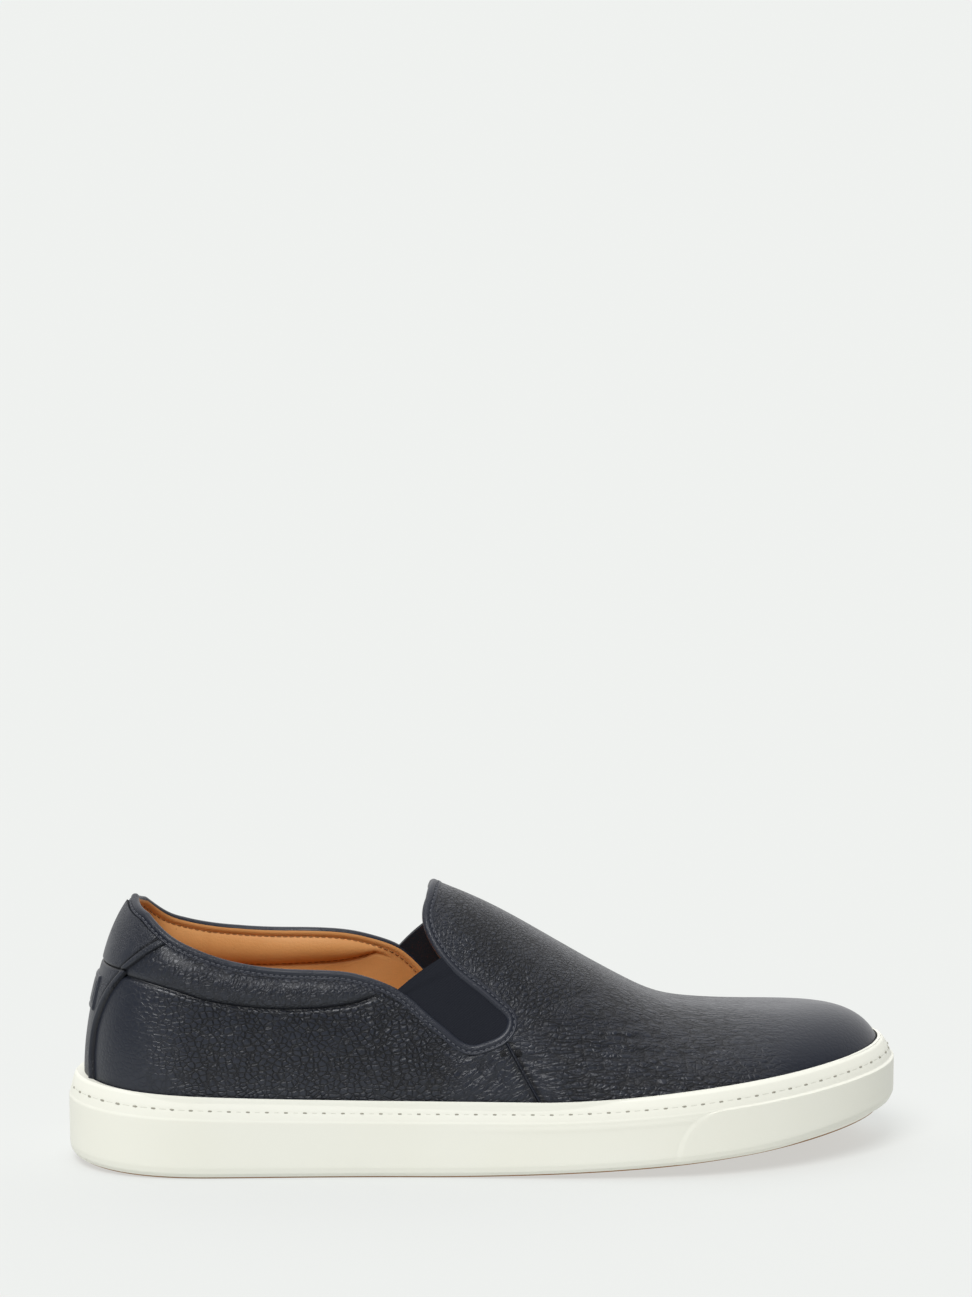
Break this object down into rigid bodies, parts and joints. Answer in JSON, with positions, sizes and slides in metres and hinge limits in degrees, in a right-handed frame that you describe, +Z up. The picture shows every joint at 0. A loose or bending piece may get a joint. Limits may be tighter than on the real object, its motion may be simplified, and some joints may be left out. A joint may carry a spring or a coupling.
{
  "type": "slip-on sneaker",
  "caption": "Right-foot slip-on sneaker with a leather upper, elastic side gores, padded collar and a rubber cupsole.",
  "frame": {"origin": "on the floor under the middle of the sole's bounding box, with the shoe standing on its heel and ball", "axes": "+X towards the toe, +Y towards the inner (medial) side, +Z up"},
  "size_m": [0.2992, 0.1059, 0.0991],
  "materials": {
    "navy_leather": "tumbled grain, semi-matte",
    "tan_leather": "smooth lining, matte",
    "cream_rubber": "moulded, matte",
    "honey_rubber": "moulded tread, matte",
    "navy_elastic": "ribbed elastic"
  },
  "bodies": {
    "root": {"upper": "navy_leather", "topline_binding": "navy_leather", "heel_tab": "navy_leather", "back_strip": "navy_leather", "heel_patch": "navy_leather", "side_seam_lateral": "navy_leather", "side_seam_medial": "navy_leather", "gore_lateral": "navy_elastic", "gore_medial": "navy_elastic", "insole": "tan_leather", "cupsole": "cream_rubber", "outsole": "honey_rubber"}
  },
  "joints": []
}
